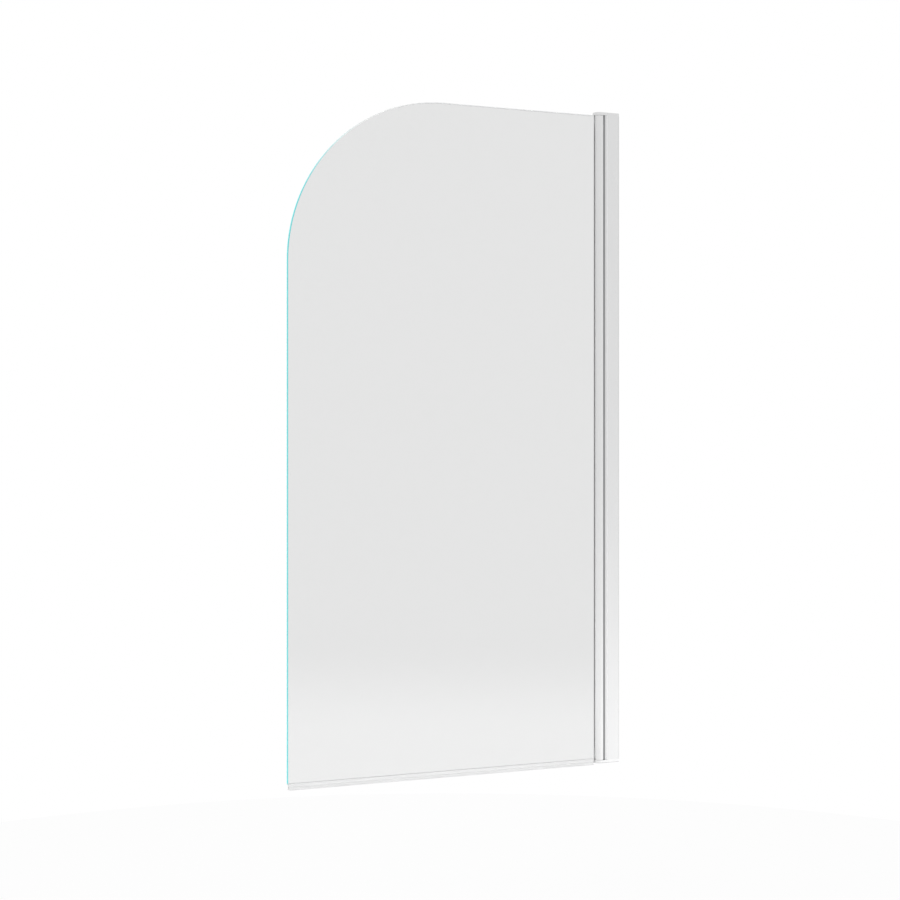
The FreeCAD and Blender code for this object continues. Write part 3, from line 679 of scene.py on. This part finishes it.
def pane_outline(inset):
    """The pane seen square on, as (x, z) points, with its free edges moved in by the inset."""
    free, top = pane_low[0] + inset, pane_high[2] - inset
    big, small = CORNER_ROUND - inset, FOOT_ROUND - inset
    shoulder, right = AXIS_X - CLEAR_OF_NOSE, pane_high[0]
    notch, tube_top = tube_low[0] + NOTCH_IN_MOUTH, tube_high[2]
    hinge_side = [(shoulder, top), (shoulder, tube_top), (notch, tube_top),
                  (notch, tube_top - NOTCH_HEIGHT), (right, tube_top - NOTCH_HEIGHT)]
    return [*arc((free + small, small - top), small, 270, 180, FOOT_STEPS),
            *arc((free + big, top - big), big, 180, 90, CORNER_STEPS),
            *hinge_side, *flipped(hinge_side)]


print("points round the pane:", len(pane_outline(0)))

# %% [markdown]
# The same outline, drawn at several insets, gives one ring of points for each step of the round edge.
# Bands between the rings make the rim, which has its own finish, and two flat ends make the faces.

# %% The glass
rim = []
for step in range(RIM_STEPS + 1):
    angle = math.radians(90 * step / RIM_STEPS)
    inset = EDGE_ROUND * (1 - math.sin(angle))
    rim.append((inset, pane_low[1] + EDGE_ROUND * (1 - math.cos(angle))))
rim += [(inset, -y) for inset, y in reversed(rim)]

pane = bmesh.new()
rings = [[pane.verts.new((x, y, z)) for x, z in pane_outline(inset)] for inset, y in rim]
for near_ring, far_ring in zip(rings, rings[1:]):
    for face in add_band(pane, near_ring, far_ring):
        face.material_index = 1
for number in (0, -1):
    add_end(pane, [rings[number]], [pane_outline(rim[number][0])])
make_piece("glass", pane, "glass_panel", "ground_edge")

# %% [markdown]
# ## The hinge tube
#
# The tube is an extrusion too. A pocket, open to the left, holds the glass in its gasket, behind two small
# lips. Hollows on both sides save metal. The round is drawn finely, because its mirror image shows every
# facet.

# %% The hinge tube
POCKET_HALF, POCKET_FLOOR = 3.9, 4.0
MOUTH_HALF, MOUTH_DEPTH, LIP_EASE = 3.5, 1.2, 0.25
TUBE_WALL, POCKET_WALL = 1.5, 1.3
TUBE_STEPS, HOLLOW_STEPS = 96, 32

pocket_start = TUBE_MOUTH - MOUTH_DEPTH
mouth_angle = math.degrees(math.atan2(MOUTH_HALF, TUBE_MOUTH))
skin = arc((0, 0), TUBE_RADIUS, mouth_angle - 180, 180 - mouth_angle, TUBE_STEPS)
skin[0] = (*skin[0], LIP_EASE)
skin[-1] = (*skin[-1], LIP_EASE)
pocket_side = [(-pocket_start, MOUTH_HALF), (-pocket_start, POCKET_HALF), (POCKET_FLOOR, POCKET_HALF)]
tube_outline = eased([*skin, *pocket_side, *flipped(pocket_side)])

inner, side, back = TUBE_RADIUS - TUBE_WALL, POCKET_HALF + POCKET_WALL, POCKET_FLOOR + POCKET_WALL
web = POCKET_WALL / 2
hollow_start = math.degrees(math.asin(web / inner))
hollow_end = 180 - math.degrees(math.asin(side / inner))
hollow = [*arc((0, 0), inner, hollow_start, hollow_end, HOLLOW_STEPS), (back, side), (back, web)]
tube_shape = bmesh.new()
add_strip(tube_shape, [tube_outline, hollow, flipped(hollow)], TUBE_ENDS, on_axis)
make_piece("hinge_tube", tube_shape, "pivot_tube")

# %% [markdown]
# ## The gasket round the glass
#
# A U of rubber lines the pocket, and its two lips show on each side of the glass. Near the ends of the
# tube the plugs take the place of the U, and only the lips go on.

# %% The gasket round the glass
gasket_low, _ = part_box("glazing_gasket")
GASKET_OUT = (AXIS_X - gasket_low[0]) / MM
GLASS_BACK = (pane_high[0] - AXIS_X) / MM + SOFT_GAP
GASKET_HALF = PANE_HALF + SOFT_GAP
GASKET_EASE, LEAD_IN = 0.3, 0.45
notch_reach = TUBE_MOUTH - NOTCH_IN_MOUTH / MM
plug_room = TUBE_ENDS[1] - NOTCH_HEIGHT

u_side = [(-GASKET_OUT, GASKET_HALF, LEAD_IN), (-GASKET_OUT, MOUTH_HALF, GASKET_EASE),
          (-pocket_start, MOUTH_HALF), (-pocket_start, POCKET_HALF), (POCKET_FLOOR, POCKET_HALF)]
u_section = eased([(GLASS_BACK, GASKET_HALF), *u_side, *flipped(u_side), (GLASS_BACK, -GASKET_HALF)])
lip = eased([(-GASKET_OUT, GASKET_HALF, LEAD_IN), (-GASKET_OUT, MOUTH_HALF, GASKET_EASE),
             (-notch_reach, MOUTH_HALF), (-notch_reach, GASKET_HALF)])
gasket_shape = bmesh.new()
add_strip(gasket_shape, [u_section], (-plug_room, plug_room), on_axis)
for ends in ((-TUBE_ENDS[1], -plug_room), (plug_room, TUBE_ENDS[1])):
    for outline in (lip, flipped(lip)):
        add_strip(gasket_shape, [outline], ends, on_axis)
make_piece("glass_gasket", gasket_shape, "glazing_gasket")

# %% [markdown]
# ## The seals of the post
#
# A soft strip sits in a T groove on each side of the cove and follows the turning tube. Its face is a
# hollow curve just off the tube, and its tip is thin and round.

# %% The seals of the post
POST_FRONT = 9.9
SEAL_GAP, SEAL_INNER, SEAL_OUTER, SEAL_TIP = 0.06, 7.6, 10.8, 10.5
GROOVE_CENTRE, GROOVE_NECK, GROOVE_WIDTH, GROOVE_LIP, GROOVE_DEPTH = 8.8, 1.4, 2.6, 0.8, 2.0
TIP_EASE, BACK_EASE, FOOT_EASE = 0.08, 0.3, 0.2
FACE_STEPS = 12
seal_low, seal_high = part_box("cove_seal_front")

face_radius = TUBE_RADIUS + SEAL_GAP
neck_low, neck_high = GROOVE_CENTRE - GROOVE_NECK / 2, GROOVE_CENTRE + GROOVE_NECK / 2
foot_low, foot_high = GROOVE_CENTRE - GROOVE_WIDTH / 2, GROOVE_CENTRE + GROOVE_WIDTH / 2
lip_x, foot_x = POST_FRONT + GROOVE_LIP, POST_FRONT + GROOVE_DEPTH
face_start = math.degrees(math.asin(SEAL_INNER / face_radius))
face_end = math.degrees(math.asin(SEAL_TIP / face_radius))
seal_face = arc((0, 0), face_radius, face_start, face_end, FACE_STEPS)
seal_face[-1] = (*seal_face[-1], TIP_EASE)
seal_section = eased([
    *seal_face, (POST_FRONT, SEAL_OUTER, BACK_EASE), (POST_FRONT, neck_high), (lip_x, neck_high),
    (lip_x, foot_high), (foot_x, foot_high, FOOT_EASE), (foot_x, foot_low, FOOT_EASE),
    (lip_x, foot_low), (lip_x, neck_low), (POST_FRONT, neck_low), (POST_FRONT, SEAL_INNER)])
for name, stands_for, section in (("front_seal", "cove_seal_front", flipped(seal_section)),
                                  ("rear_seal", "cove_seal_rear", seal_section)):
    seal_shape = bmesh.new()
    add_strip(seal_shape, [section], (seal_low[2], seal_high[2]), on_axis)
    make_piece(name, seal_shape, stands_for)

# %% [markdown]
# ## The drip strip
#
# The clear strip is pushed onto the lower edge of the glass from below. Two soft fins spread from its web
# and end in round beads that lie on the rim of the bath. One outline goes round all of it, so that light
# meets no wall inside the clear plastic. It is drawn for one side and flipped for the other.

# %% The drip strip
LEG, GRIP, WEB = 1.4, 3.5, 2.5
FIN, FIN_ROOT, FIN_TIP, FIN_DROP, BEAD = 0.9, 1.4, 3.4, 6.1, 0.9
FIN_CURVE = 1.4
SHOULDER_EASE, END_EASE, INNER_EASE = 0.6, 0.4, 0.9
FIN_STEPS, BEAD_STEPS = 8, 20
fin_line = []
for step in range(FIN_STEPS + 1):
    down = step / FIN_STEPS
    fin_line.append(Vector((-WEB - FIN_DROP * down, FIN_ROOT + (FIN_TIP - FIN_ROOT) * down ** FIN_CURVE)))
bead_centre = fin_line[-1]
fin_way = (fin_line[-1] - fin_line[-2]).normalized()
across_fin = Vector((fin_way.y, -fin_way.x)) * FIN / 2
fin_angle = math.degrees(math.atan2(fin_way.y, fin_way.x))
joint = math.degrees(math.asin(FIN / 2 / BEAD))
bead = arc(bead_centre, BEAD, fin_angle + 180 - joint, fin_angle - 180 + joint, BEAD_STEPS)
inner_side = [tuple(point - across_fin) for point in fin_line[:-1]]
outer_side = [tuple(point + across_fin) for point in fin_line[:-1]]
half_section = [
    *inner_side, *bead, *reversed(outer_side), (-WEB, PANE_HALF + LEG, SHOULDER_EASE),
    (GRIP, PANE_HALF + LEG, END_EASE), (GRIP, PANE_HALF + SOFT_GAP, INNER_EASE),
    (-SOFT_GAP, PANE_HALF + SOFT_GAP)]
drip_section = eased([*half_section, *flipped(half_section)])
drip_shape = bmesh.new()
add_strip(drip_shape, [drip_section], (strip_low[0], strip_high[0]),
          lambda rise, out, along: (along, out * MM, pane_low[2] + rise * MM))
make_piece("drip_strip", drip_shape, "bottom_seal")

# %% [markdown]
# ## The cap screws
#
# Two countersunk screws hold each hinge cap onto the post. One of them comes into the open when the post
# is drawn out of the channel, so they get their cross recess here. Four rings of points make the turned
# screw, from its head to its tip, and the recess is a cross that narrows on its way down.

# %% The cap screws
SCREW_RADIUS, HEAD_RADIUS, TIP_RADIUS = 1.65, 3.0, 0.1
CROSS_REACH, CROSS_TIP, CROSS_ROOT, CROSS_DEPTH, CROSS_TAPER = 1.85, 0.4, 0.52, 1.4, 0.45
TURN_STEPS = 48

quarter = [(CROSS_REACH, -CROSS_TIP), (CROSS_REACH, CROSS_TIP), (CROSS_ROOT, CROSS_ROOT)]
cross = [tuple(Matrix.Rotation(math.radians(90 * turn), 2) @ Vector(point))
         for turn in range(4) for point in quarter]
cross_floor = [(x * CROSS_TAPER, y * CROSS_TAPER) for x, y in cross]


def add_screw(shape, middle, top, length, away):
    """A screw with its axis upright; away is 1 for a head on top and -1 for a head below."""

    def ring(outline, depth):
        return [shape.verts.new((middle + x * MM, y * MM, top - away * depth * MM)) for x, y in outline]

    rims = [arc((0, 0), radius, 0, 360, TURN_STEPS)[:-1]
            for radius in (HEAD_RADIUS, SCREW_RADIUS, SCREW_RADIUS, TIP_RADIUS)]
    depths = (0, HEAD_RADIUS - SCREW_RADIUS, length - SCREW_RADIUS, length)
    turned = [ring(rim, depth) for rim, depth in zip(rims, depths)]
    mouth, bottom = ring(cross, 0), ring(cross_floor, CROSS_DEPTH)
    for upper, lower in (*zip(turned, turned[1:]), (mouth, bottom)):
        add_band(shape, upper, lower)
    add_end(shape, [turned[0], mouth], [rims[0], cross])
    add_end(shape, [turned[-1]], [rims[-1]])
    add_end(shape, [bottom], [cross_floor])


for name, stands_for, away in (("upper_screws", "cap_screws_top", 1),
                               ("lower_screws", "cap_screws_bottom", -1)):
    screws_low, screws_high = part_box(stands_for)
    top, tip = (screws_high[2], screws_low[2]) if away > 0 else (screws_low[2], screws_high[2])
    screws = bmesh.new()
    for middle in (screws_low[0] + HEAD_RADIUS * MM, screws_high[0] - HEAD_RADIUS * MM):
        add_screw(screws, middle, top, abs(top - tip) / MM, away)
    make_piece(name, screws, stands_for)
